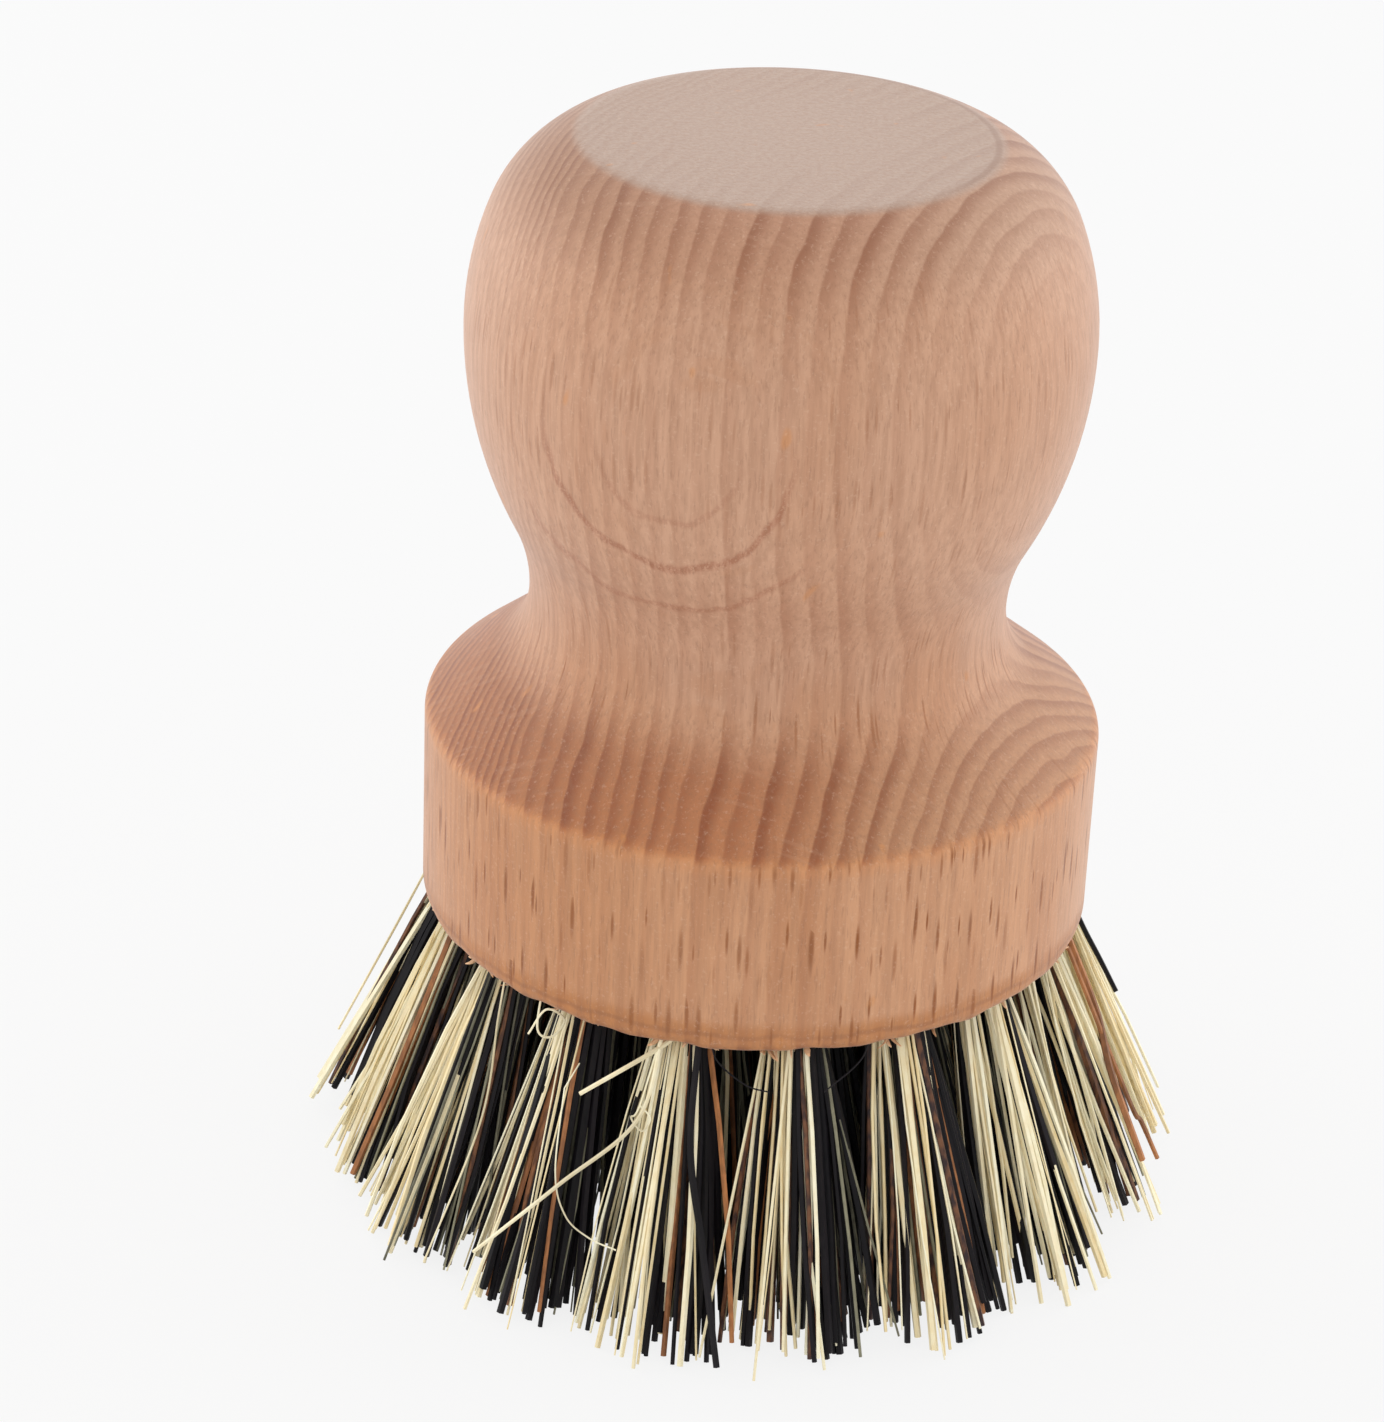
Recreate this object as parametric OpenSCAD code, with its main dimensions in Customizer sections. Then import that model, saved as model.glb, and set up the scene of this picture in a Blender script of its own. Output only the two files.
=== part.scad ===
// Pot brush. A beech handle, turned in one piece, carries four rings of fibre tufts.
// Each tuft is folded over a flat wire anchor, which bites into the wood at the bottom of a blind hole.
// The brush stands on its trimmed tips: the origin is at the middle of the tip plane, and +Z points to the crown.

/* [Handle] */
// Height of the handle, from its underside to the flat crown
handle_h = 65.5; // [62:0.5:75]
// Diameter of the base
base_d = 55; // [52:0.5:62]
// Height of the base's upper edge above its underside
base_edge_h = 16.6; // [14.5:0.1:18]
// Rounding of the base's lower rim
rim_round = 2.6; // [1.5:0.1:3.4]
// Rounding of the base's upper edge
edge_round = 1.2; // [0.5:0.1:2]
// Diameter of the neck, where the fingers close
neck_d = 38.4; // [32:0.2:42]
// Height of the neck above the base's upper edge
neck_rise = 10.4; // [9.5:0.1:13]
// Radius of the hollow between neck and base
cove_r = 8; // [6:0.1:9]
// Radius of the hollow between neck and knob, as a share of the height from the neck to the knob's widest place
throat_share = 0.66; // [0.5:0.01:0.8]
// Largest diameter of the knob
knob_d = 49.6; // [46:0.2:54]
// Height of the crown above the knob's widest place
knob_drop = 15.7; // [13:0.1:18]
// Diameter of the flat crown
crown_d = 32.2; // [28:0.2:36]
// Turn of the knob's upper curve before the tighter shoulder begins, in degrees
belly_turn = 21.5; // [16:0.5:26]
// Turn of both upper curves together, up to the edge of the crown, in degrees
shoulder_turn = 72.5; // [66:0.5:78]

/* [Tuft holes] */
// Diameter of a tuft hole
hole_d = 5; // [4.6:0.1:5.2]
// Depth of a tuft hole to the start of its drill point
hole_depth = 8.5; // [8:0.1:10]
// Height of the hole's drill point
drill_point = 1.4; // [0.8:0.1:1.6]
// Distance from the base's edge to the outer ring of hole centres
ring_inset = 4.3; // [3.9:0.1:5]
// Number of tufts in the outer ring
outer_count = 17; // [15:1:17]
// Number of tufts in the middle ring
middle_count = 12; // [10:1:12]
// Number of tufts in the inner ring
inner_count = 6; // [5:1:6]
// Outward lean of the outer ring of tufts, in degrees. The other rings lean in proportion to their radius
outer_lean = 19; // [14:0.5:22]
// Bearing of each ring's first tuft, in degrees from +X
first_bearing = -102; // [-180:1:180]

/* [Bristles] */
// Length of the bristles, from the handle's underside to the trimmed tips
bristle_l = 24.5; // [18:0.5:34]
// Rings of strands round the middle one of each tuft. A strand is a bundle of fibres that lie together
strand_rings = 2; // [1:1:2]
// Smallest gap between neighbouring tufts at the trimmed tips
tip_gap = 0.7; // [0.4:0.1:2]
// Largest random sideways shift of a strand's tip
strand_stray = 0.5; // [0:0.05:0.5]

/* [Anchors] */
// Thickness of the flat anchor wire
anchor_t = 0.4; // [0.3:0.05:0.6]
// Width of the flat anchor wire, along the hole
anchor_w = 2; // [1.6:0.1:2.4]
// Length by which each end of an anchor bites into the wood
anchor_bite = 0.7; // [0.4:0.05:0.8]
// Turn of each anchor from the line of its ring, in degrees. It keeps the ends of neighbouring anchors apart
anchor_turn = 45; // [30:1:60]
// Thickness of the fibres that fold over an anchor
fold_t = 0.6; // [0.3:0.1:1]

/* [Hidden] */

tuft_clear = 0.1;   // gap between a packed tuft and the wall of its hole
slot_clear = 0.05;  // gap between a folded tuft and its anchor
bite_clear = 0.02;  // gap between an anchor's ends and the wood that they bite into
root_inset = 1.5;   // how far inside the hole's mouth the packed part of a tuft ends
strand_root = 1;    // length of a strand inside the packed part
strand_gap = 0.08;  // gap between neighbouring strands where they leave the packed part
strand_edge = 0.24; // gap between the outermost strands and the rim of the packed part
mouth_out = 1.5;    // how far a hole's cutter reaches out of the leaning mouth
arc_step = 5;       // turn between neighbouring points of a curve, in degrees
stray_seed = 41;    // first seed of the strands' random shifts

wood_colour = "#c99c7b";
cream_colour = "#e2cf96";
brown_colour = "#6d4a35";
black_colour = "#221d1c";
steel_colour = "#9a9c9f";
// Mixed fibre: the colours of a tuft's strands, taken in turn
fibre_colours = [cream_colour, black_colour, cream_colour, brown_colour, black_colour,
    cream_colour, brown_colour];

base_r = base_d / 2;
neck_r = neck_d / 2;
knob_r = knob_d / 2;
crown_r = crown_d / 2;
neck_z = base_edge_h + neck_rise;
knob_z = handle_h - knob_drop;

hole_r = hole_d / 2;
root_r = hole_r - tuft_clear;
anchor_z = hole_depth - fold_t - anchor_w; // height of an anchor's lower edge above the hole's mouth
anchor_l = hole_d + 2 * anchor_bite;

// The rings of holes lie evenly between the middle and the outer ring
outer_ring = base_r - ring_inset;
middle_ring = outer_ring * 2 / 3;
inner_ring = outer_ring / 3;

strand_pitch = (root_r - strand_edge + strand_gap / 2) / (strand_rings + 0.5);
strand_d = strand_pitch - strand_gap;
// The tips of the inner ring lie closest to their neighbour, the middle tuft, so they set how far a tuft may fan out
tip_ring = inner_ring + bristle_l * tan(lean_of(inner_ring));
tip_r = (tip_ring - tip_gap) / 2; // half the width of a tuft at its tips
strand_fan = tip_r - strand_rings * strand_pitch - strand_stray - strand_d / 2;

// Radii of the knob's two upper curves, so that they run from the widest place to the crown's edge
side_in = knob_r - crown_r;
turn_det = sin(belly_turn) * (cos(belly_turn) - cos(shoulder_turn))
    - (1 - cos(belly_turn)) * (sin(shoulder_turn) - sin(belly_turn));
belly_r = (knob_drop * (cos(belly_turn) - cos(shoulder_turn))
    - side_in * (sin(shoulder_turn) - sin(belly_turn))) / turn_det;
shoulder_r = (side_in * sin(belly_turn) - knob_drop * (1 - cos(belly_turn))) / turn_det;

// Radius of the knob's lower curve, which touches the throat
knob_to_neck = knob_z - neck_z;
throat_r = throat_share * knob_to_neck;
throat_x = neck_r + throat_r;
waist_r = (pow(throat_x - knob_r, 2) + pow(knob_to_neck, 2) - pow(throat_r, 2))
    / (2 * (knob_r - neck_r));
waist_turn = atan2(knob_to_neck, throat_x - knob_r + waist_r);

// The straight slope from the base's edge, which touches the cove
cove_x = neck_r + cove_r;
cove_far = norm([cove_x - base_r, neck_rise]);
slope_bearing = atan2(neck_rise, cove_x - base_r) + asin(cove_r / cove_far);
slope_tilt = 180 - slope_bearing;
edge_in = edge_round * tan((90 - slope_tilt) / 2);

// A lean in degrees for a ring of tufts, in proportion to its radius
function lean_of(ring) = outer_lean * ring / outer_ring;
// The bearing of one of a ring's tufts, counted from 1, in degrees from +X
function bearing_of(i, count) = first_bearing + (i - 1) * 360 / count;
// A tuft's node name, with two digits for its place in the ring
function tuft_name(ring, i) = str("tuft_", ring, "_", i < 10 ? "0" : "", i);
// Points along an arc, from bearing a to bearing b
function arc(centre, r, a, b) =
    let (steps = max(2, ceil(abs(b - a) / arc_step)))
    [for (i = [0:steps]) centre + r * [cos(a + (b - a) * i / steps), sin(a + (b - a) * i / steps)]];
// The same arc without its last point, where the next one begins
function open_arc(centre, r, a, b) =
    let (points = arc(centre, r, a, b))
    [for (i = [0:len(points) - 2]) points[i]];
// Places of a tuft's strands, on a triangular grid of unit pitch
function strand_places(rings) =
    [for (i = [-rings:rings], j = [-rings:rings]) if (abs(i + j) <= rings) [i + j / 2, j * sqrt(3) / 2]];

// Half the outline of the handle, from the axis at the underside round to the axis at the crown
handle_outline = concat(
    [[0, 0]],
    arc([base_r - rim_round, rim_round], rim_round, -90, 0),
    arc([base_r - edge_round, base_edge_h - edge_in], edge_round, 0, 90 - slope_tilt),
    open_arc([cove_x, neck_z], cove_r, 270 - slope_tilt, 180),
    open_arc([throat_x, neck_z], throat_r, 180, 180 - waist_turn),
    open_arc([knob_r - waist_r, knob_z], waist_r, -waist_turn, 0),
    open_arc([knob_r - belly_r, knob_z], belly_r, 0, belly_turn),
    arc([knob_r - belly_r, knob_z] + (belly_r - shoulder_r) * [cos(belly_turn), sin(belly_turn)],
        shoulder_r, belly_turn, shoulder_turn),
    [[0, handle_h]]);

// Puts its children at one tuft's hole: the hole's mouth at the origin, +Z into the wood
module at_hole(ring, bearing) {
    rotate([0, 0, bearing])
        translate([ring, 0, bristle_l])
            rotate([0, -lean_of(ring), 0])
                children();
}

// Repeats its children at every hole of one ring
module round_ring(ring, count) {
    for (i = [1:count]) at_hole(ring, bearing_of(i, count)) children();
}

// A round shaft with a blunt drill point, from z = low to z = high
module drilled_shape(r, low, high, point) {
    rotate_extrude($fn = 48) polygon([[0, low], [r, low], [r, high], [0, high + point]]);
}

// One flat strip of anchor wire, or of any other length, grown all round by a clearance
module anchor_strip(clear, l = anchor_l) {
    rotate([0, 0, anchor_turn])
        translate([-anchor_t / 2 - clear, -l / 2 - clear, anchor_z - clear])
            cube([anchor_t + 2 * clear, l + 2 * clear, anchor_w + 2 * clear]);
}

// One blind hole for a tuft, with a nick in each side where the anchor bites
module tuft_hole() {
    drilled_shape(hole_r, -mouth_out, hole_depth, drill_point);
    anchor_strip(bite_clear);
}

// The turned handle, with its four rings of tuft holes
module handle() {
    color(wood_colour)
    difference() {
        translate([0, 0, bristle_l]) rotate_extrude($fn = 180) polygon(handle_outline);
        round_ring(outer_ring, outer_count) tuft_hole();
        round_ring(middle_ring, middle_count) tuft_hole();
        round_ring(inner_ring, inner_count) tuft_hole();
        round_ring(0, 1) tuft_hole();
    }
}

// A round rod from point a to point b
module rod(a, b, d) {
    v = b - a;
    translate(a)
        rotate([0, acos(v[2] / norm(v)), atan2(v[1], v[0])])
            cylinder(h = norm(v), d = d, $fn = 24);
}

// The strands of one tuft, fanned out from the hole and long enough to be trimmed
module strands(lean, seed) {
    places = strand_places(strand_rings);
    shifts = rands(-1, 1, 2 * len(places), seed);
    reach = (bristle_l + (tip_r + strand_d) * sin(lean)) / cos(lean) + strand_d;
    for (k = [0:len(places) - 1]) {
        start = places[k] * strand_pitch;
        shift = strand_stray * [shifts[2 * k], shifts[2 * k + 1]] / sqrt(2);
        end = start + places[k] * strand_fan / strand_rings + shift;
        color(fibre_colours[k % len(fibre_colours)])
            rod([start[0], start[1], root_inset + strand_root], [end[0], end[1], -reach], strand_d);
    }
}

// The packed part of one tuft inside its hole, folded over the anchor
module tuft_root() {
    color(brown_colour)
    difference() {
        drilled_shape(root_r, root_inset, hole_depth, drill_point - tuft_clear);
        anchor_strip(slot_clear, 2 * hole_d);
    }
}

// One tuft, with its tips trimmed flat on the plane that the brush stands on
module tuft(ring, bearing, seed) {
    intersection() {
        at_hole(ring, bearing) {
            tuft_root();
            strands(lean_of(ring), seed);
        }
        translate([-base_d, -base_d, 0]) cube([2 * base_d, 2 * base_d, bristle_l + handle_h]);
    }
}

// All the anchors of one ring
module anchors(ring, count) {
    color(steel_colour) round_ring(ring, count) anchor_strip(0);
}

handle();
for (i = [1:outer_count]) tuft(outer_ring, bearing_of(i, outer_count), stray_seed + i);
for (i = [1:middle_count]) tuft(middle_ring, bearing_of(i, middle_count), stray_seed + 100 + i);
for (i = [1:inner_count]) tuft(inner_ring, bearing_of(i, inner_count), stray_seed + 200 + i);
tuft(0, bearing_of(1, 1), stray_seed);  // tuft_centre
anchors(outer_ring, outer_count);  // anchors_outer
anchors(middle_ring, middle_count);  // anchors_middle
anchors(inner_ring, inner_count);  // anchors_inner
anchors(0, 1);  // anchor_centre
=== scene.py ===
# %% [markdown]
# # Pot brush
#
# A short brush for scrubbing pans. The handle is one piece of beech, turned on a lathe: a round
# base, a waist for the fingers, a knob for the palm and a flat sanded crown. The base carries 36
# tufts of stiff mixed fibre, each folded in half over a strip of wire and pushed into its own
# blind hole.
#
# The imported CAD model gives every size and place. This file keeps the wire anchors as they are,
# and builds the handle and the tufts again with the detail that a picture needs. All of it is
# modelled in millimetres and then brought to metres, because Blender's mesh tools work best on
# sizes near one.

import math
import random

import bmesh
import bpy
from mathutils import Matrix, Vector


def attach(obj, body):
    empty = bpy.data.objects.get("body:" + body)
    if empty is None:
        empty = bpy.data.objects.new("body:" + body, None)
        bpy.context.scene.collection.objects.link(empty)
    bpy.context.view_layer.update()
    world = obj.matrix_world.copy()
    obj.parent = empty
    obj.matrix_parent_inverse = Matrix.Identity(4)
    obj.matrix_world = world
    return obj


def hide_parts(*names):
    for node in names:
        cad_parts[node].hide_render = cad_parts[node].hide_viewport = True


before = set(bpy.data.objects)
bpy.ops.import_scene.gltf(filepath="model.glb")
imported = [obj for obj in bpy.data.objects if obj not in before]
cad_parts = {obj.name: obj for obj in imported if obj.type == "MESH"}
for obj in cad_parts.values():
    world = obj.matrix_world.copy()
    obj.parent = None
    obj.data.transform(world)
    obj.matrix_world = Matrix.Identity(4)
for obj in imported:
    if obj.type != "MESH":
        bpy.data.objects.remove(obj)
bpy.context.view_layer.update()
print("nodes:", len(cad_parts))

# %% [markdown]
# ## Tools for the bench
#
# A finished piece has its object at the origin, with its place in its mesh. Two helpers see to
# that. The first makes an object of a bmesh and can bring it from millimetres to metres. The
# second gives it smooth shading with crisp edges, and lets it ride on the brush's only body.

# %% From a bmesh to a finished piece
MM = 0.001
BODY = "root"
scene = bpy.context.scene


def mesh_object(name, bm, scale=1.0):
    """Makes an object of a bmesh, and frees the bmesh."""
    mesh = bpy.data.meshes.new(name)
    bmesh.ops.scale(bm, vec=(scale,) * 3, verts=bm.verts)
    bm.to_mesh(mesh)
    bm.free()
    made = bpy.data.objects.new(name, mesh)
    scene.collection.objects.link(made)
    return made


def finish_piece(piece, slot, crisp, *replaced):
    """Shades a piece smooth with crisp edges, and ties it to the CAD model."""
    piece.data.shade_smooth()
    piece.data.set_sharp_from_angle(angle=math.radians(crisp))
    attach(piece, BODY)
    if replaced:
        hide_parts(*replaced)
    return piece


# %% [markdown]
# ## The outline of the handle
#
# A turner shapes the handle with a few sweeping cuts, and each cut is close to an arc of a circle.
# So the outline is drawn as arcs that touch: a point is spun about each arc's centre, and each new
# point carries on from the last. The alternative, a bezier curve with handles, is quicker to bend
# by eye, but its sizes can't be read off.
#
# The sizes are those of the CAD model, with heights counted from the underside of the base. Only
# two edges differ: the crown's is rounded, as by sandpaper, and the base's lower one is crisper.

# %% Sizes of the handle
BRISTLE_L = 24.5                        # from the tips to the underside of the base
HANDLE_H = 65.5
BASE_R, EDGE_H = 27.5, 16.6             # the base and the height of its wall
RIM, EDGE = 1.2, 1.2                    # how far its lower and its upper edge are rounded
NECK_R, NECK_Z = 19.2, 27.0
COVE = 8.0                              # the hollow arc between the slope and the neck
THROAT_SHARE = 0.66                     # the arc above the neck, as a share of the rise there
KNOB_R, KNOB_Z, CROWN_R = 24.8, 49.8, 16.1
BELLY_TURN, SHOULDER_TURN = 21.5, 72.5  # degrees up to which the knob's two arcs run
SANDED = 3.0                            # how far the crown's edge is rounded by sandpaper
CROWN_BORDER = 0.8                      # a narrow ring of faces that keeps the crown's shade flat

# %% Where the arcs touch
cove_x = NECK_R + COVE
rise = NECK_Z - EDGE_H
tilt = 180 - math.degrees(math.atan2(rise, cove_x - BASE_R)
                          + math.asin(COVE / math.hypot(cove_x - BASE_R, rise)))
edge_in = EDGE * math.tan(math.radians((90 - tilt) / 2))

lift = KNOB_Z - NECK_Z
throat = THROAT_SHARE * lift
throat_x = NECK_R + throat
waist = ((throat_x - KNOB_R) ** 2 + lift ** 2 - throat ** 2) / (2 * (KNOB_R - NECK_R))
waist_turn = math.degrees(math.atan2(lift, throat_x - KNOB_R + waist))

# the belly and the shoulder are the two arcs that bring the knob's side round to the crown
c1, s1 = math.cos(math.radians(BELLY_TURN)), math.sin(math.radians(BELLY_TURN))
c2, s2 = math.cos(math.radians(SHOULDER_TURN)), math.sin(math.radians(SHOULDER_TURN))
side_in, drop = KNOB_R - CROWN_R, HANDLE_H - KNOB_Z
det = s1 * (c1 - c2) - (1 - c1) * (s2 - s1)
belly = (drop * (c1 - c2) - side_in * (s2 - s1)) / det
shoulder = (side_in * s1 - drop * (1 - c1)) / det
shoulder_x = KNOB_R - belly + (belly - shoulder) * c1
shoulder_z = KNOB_Z + (belly - shoulder) * s1

sanded_z = HANDLE_H - SANDED
sanded_x = shoulder_x + math.sqrt((shoulder - SANDED) ** 2 - (sanded_z - shoulder_z) ** 2)
sanded_turn = math.degrees(math.atan2(sanded_z - shoulder_z, sanded_x - shoulder_x))
print(f"slope {tilt:.1f} degrees, arcs: waist {waist:.1f}, belly {belly:.1f}, "
      f"shoulder {shoulder:.1f} mm")


# %% Draw the outline with spun points
def line_on(bm, end, x, z):
    """Extrudes the outline's last point to a new place, and returns the new last point."""
    made = bmesh.ops.extrude_vert_indiv(bm, verts=[end])["verts"][0]
    made.co = (x, 0, z)
    return made


def arc_on(bm, end, x, z, degrees, steps):
    """Spins the outline's last point about a centre, and returns the new last point."""
    made = bmesh.ops.spin(bm, geom=[end], cent=(x, 0, z), axis=(0, -1, 0),
                          angle=math.radians(degrees), steps=steps)
    return next(part for part in made["geom_last"] if isinstance(part, bmesh.types.BMVert))


bm = bmesh.new()
end = bm.verts.new((0, 0, 0))
end = line_on(bm, end, BASE_R - RIM, 0)
end = arc_on(bm, end, BASE_R - RIM, RIM, 90, 10)
end = line_on(bm, end, BASE_R, EDGE_H - edge_in)
end = arc_on(bm, end, BASE_R - EDGE, EDGE_H - edge_in, 90 - tilt, 6)
down = math.radians(270 - tilt)
end = line_on(bm, end, cove_x + COVE * math.cos(down), NECK_Z + COVE * math.sin(down))
end = arc_on(bm, end, cove_x, NECK_Z, tilt - 90, 12)
end = arc_on(bm, end, throat_x, NECK_Z, -waist_turn, 14)
end = arc_on(bm, end, KNOB_R - waist, KNOB_Z, waist_turn, 14)
end = arc_on(bm, end, KNOB_R - belly, KNOB_Z, BELLY_TURN, 8)
end = arc_on(bm, end, shoulder_x, shoulder_z, sanded_turn - BELLY_TURN, 16)
end = arc_on(bm, end, sanded_x, sanded_z, 90 - sanded_turn, 4)
end = line_on(bm, end, sanded_x - CROWN_BORDER, HANDLE_H)
end = line_on(bm, end, 0, HANDLE_H)
print("points in the outline:", len(bm.verts))

# %% [markdown]
# ## Turning the handle
#
# One full spin of the outline about the upright axis does what the lathe does. Where the outline
# meets the axis, the spin leaves a stack of points in one place, so they are merged, and the
# normals are turned outwards after that.

# %% Spin the outline
TURN_STEPS = 256
bmesh.ops.spin(bm, geom=bm.verts[:] + bm.edges[:], cent=(0, 0, 0), axis=(0, 0, 1),
               angle=2 * math.pi, steps=TURN_STEPS, use_merge=True)
bmesh.ops.remove_doubles(bm, verts=bm.verts, dist=0.001)
bmesh.ops.translate(bm, vec=(0, 0, BRISTLE_L), verts=bm.verts)
bmesh.ops.recalc_face_normals(bm, faces=bm.faces)
handle = mesh_object("beech_handle", bm)
print("faces of the turned handle:", len(handle.data.polygons))

# %% [markdown]
# ## Drilling the holes
#
# The tufts stand in four rings: 17 outside, then 12, 6 and a single one in the middle. Each ring
# is drilled at its own lean, so that the bristles flare. A Boolean with one mesh of 36 drills cuts
# them all at once, and the drills are thrown away afterwards.
#
# The lower edge of the base isn't quite true: the drill lifted it a little beside each outer hole,
# so its points are raised and lowered by a few sine waves before the holes are cut.

# %% Where the holes are
HOLE_R, HOLE_DEPTH, DRILL_POINT = 2.5, 8.5, 1.4
MOUTH_OUT = 1.5                         # how far outside the wood each drill starts
OUTER_RING, OUTER_LEAN, FIRST_BEARING = 23.2, 19.0, -102.0
OUTER_COUNT = 17
RINGS = [("outer", OUTER_RING, OUTER_COUNT), ("middle", OUTER_RING * 2 / 3, 12),
         ("inner", OUTER_RING / 3, 6), ("centre", 0.0, 1)]


def hole_place(ring, bearing):
    """The matrix of a hole: its mouth at the origin, and +Z into the wood."""
    lean = math.radians(OUTER_LEAN * ring / OUTER_RING)
    return (Matrix.Rotation(math.radians(bearing), 4, "Z")
            @ Matrix.Translation((ring, 0, BRISTLE_L)) @ Matrix.Rotation(-lean, 4, "Y"))


holes = []
for ring_name, ring, count in RINGS:
    for i in range(count):
        bearing = FIRST_BEARING + i * 360 / count
        node = "tuft_centre" if count == 1 else f"tuft_{ring_name}_{i + 1:02d}"
        holes.append((node, ring, bearing, hole_place(ring, bearing)))
print("holes:", len(holes))

# %% Let the lower edge wander
HOLE_LIFT, SLOW_WAVE, QUICK_WAVE, SINK = 0.10, 0.08, 0.08, 0.10
bm = bmesh.new()
bm.from_mesh(handle.data)
moved = 0
for v in bm.verts:
    above = v.co.z - BRISTLE_L
    if above < RIM and math.hypot(v.co.x, v.co.y) > BASE_R - RIM - 0.01:
        turn = math.atan2(v.co.y, v.co.x)
        over_hole = math.cos(OUTER_COUNT * (turn - math.radians(FIRST_BEARING)))
        slow = math.sin(5 * turn + 1)
        quick = math.sin(31 * turn) + 0.6 * math.sin(53 * turn)
        wander = HOLE_LIFT * over_hole + SLOW_WAVE * slow + QUICK_WAVE * quick - SINK
        v.co.z += wander * (1 - above / RIM)
        moved += 1
bm.to_mesh(handle.data)
bm.free()
print("points moved along the lower edge:", moved)

# %% Cut the holes
bm = bmesh.new()
for node, ring, bearing, place in holes:
    shaft = bmesh.ops.create_cone(bm, cap_ends=True, segments=40, radius1=HOLE_R, radius2=HOLE_R,
                                  depth=HOLE_DEPTH + MOUTH_OUT)["verts"]
    top = [v for v in shaft if v.co.z > 0]
    cap = next(f for f in top[0].link_faces if abs(f.normal.z) > 0.9)
    point = bmesh.ops.poke(bm, faces=[cap])["verts"][0]
    point.co.z += DRILL_POINT
    drill = shaft + [point]
    bmesh.ops.translate(bm, vec=(0, 0, (HOLE_DEPTH - MOUTH_OUT) / 2), verts=drill)
    bmesh.ops.transform(bm, matrix=place, verts=drill)
drills = mesh_object("drills", bm)

cut = handle.modifiers.new("holes", "BOOLEAN")
cut.operation, cut.solver, cut.object = "DIFFERENCE", "EXACT", drills
evaluated = handle.evaluated_get(bpy.context.evaluated_depsgraph_get())
drilled = bpy.data.meshes.new_from_object(evaluated)
handle.modifiers.clear()
handle.data = drilled
bpy.data.objects.remove(drills)
drilled.transform(Matrix.Scale(MM, 4))
finish_piece(handle, "beech", 14, "handle")
print("faces of the drilled handle:", len(drilled.polygons))

# %% [markdown]
# ## A fibre, bent like a hairpin
#
# Every fibre goes up one side of its wire anchor, over it and down the other side, so a hole of 52
# fibres shows 104 ends. One straight rod is made once, as a ring of five points extruded ten
# times. Each fibre is a copy of that rod, whose rings are moved to the places along a hairpin
# path. Copies of a low rod keep the count of faces small, where hair particles or curves with a
# round bevel would need far more. The few stray fibres curl tightly, so they are copies of a
# second rod with more rings.

# %% The straight rods that all fibres start from
LOW_ROD, LONG_ROD, SIDES = 11, 41, 5


def straight_rod(rings):
    """A rod along Z with its rings one apart, and the ring, x and y of each of its points."""
    bm = bmesh.new()
    bmesh.ops.create_circle(bm, cap_ends=True, segments=SIDES, radius=1.0)
    end_face = bm.faces[:]
    for _ in range(rings - 1):
        made = bmesh.ops.extrude_face_region(bm, geom=end_face)["geom"]
        end_face = [part for part in made if isinstance(part, bmesh.types.BMFace)]
        new_ring = [part for part in made if isinstance(part, bmesh.types.BMVert)]
        bmesh.ops.translate(bm, vec=(0, 0, 1), verts=new_ring)
    inner = [face for face in bm.faces
             if len(face.verts) == SIDES and 0.5 < face.calc_center_median().z < rings - 1.5]
    bmesh.ops.delete(bm, geom=inner, context="FACES_ONLY")
    bmesh.ops.recalc_face_normals(bm, faces=bm.faces)
    rod = bpy.data.meshes.new(f"straight_rod_{rings}")
    bm.to_mesh(rod)
    bm.free()
    return rod, [(round(v.co.z), v.co.x, v.co.y) for v in rod.vertices]


RODS = {rings: straight_rod(rings) for rings in (LOW_ROD, LONG_ROD)}
print("faces of one fibre:", len(RODS[LOW_ROD][0].polygons))


# %% Lay one rod along a path
def new_bundle():
    """An empty bmesh that can carry a tone and a place along the fibre at each point."""
    bm = bmesh.new()
    bm.verts.layers.float.new("tone")
    bm.verts.layers.float.new("along")
    return bm


def lay_fibre(bm, path, radius, kind, tone, place, taper=0.2):
    """Adds one fibre to a bundle: a copy of a rod, with its rings moved along the path."""
    rod, rod_places = RODS[len(path)]
    first, first_face = len(bm.verts), len(bm.faces)
    bm.from_mesh(rod)
    bm.verts.ensure_lookup_table()
    bm.faces.ensure_lookup_table()
    steps = len(path) - 1
    rings = []
    side = Vector((1, 0, 0))
    for i, at in enumerate(path):
        ahead = (path[min(i + 1, steps)] - path[max(i - 1, 0)]).normalized()
        side = (side - ahead * side.dot(ahead)).normalized()
        rings.append((at, side, ahead.cross(side)))
    for vert, (i, x, y) in zip(bm.verts[first:], rod_places):
        at, side, across = rings[i]
        along = abs(2 * i / steps - 1)
        vert.co = place @ (at + radius * (1 - taper * along) * (x * side + y * across))
        vert[bm.verts.layers.float["tone"]] = tone
        vert[bm.verts.layers.float["along"]] = along
    for face in bm.faces[first_face:]:
        face.material_index = kind
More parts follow.
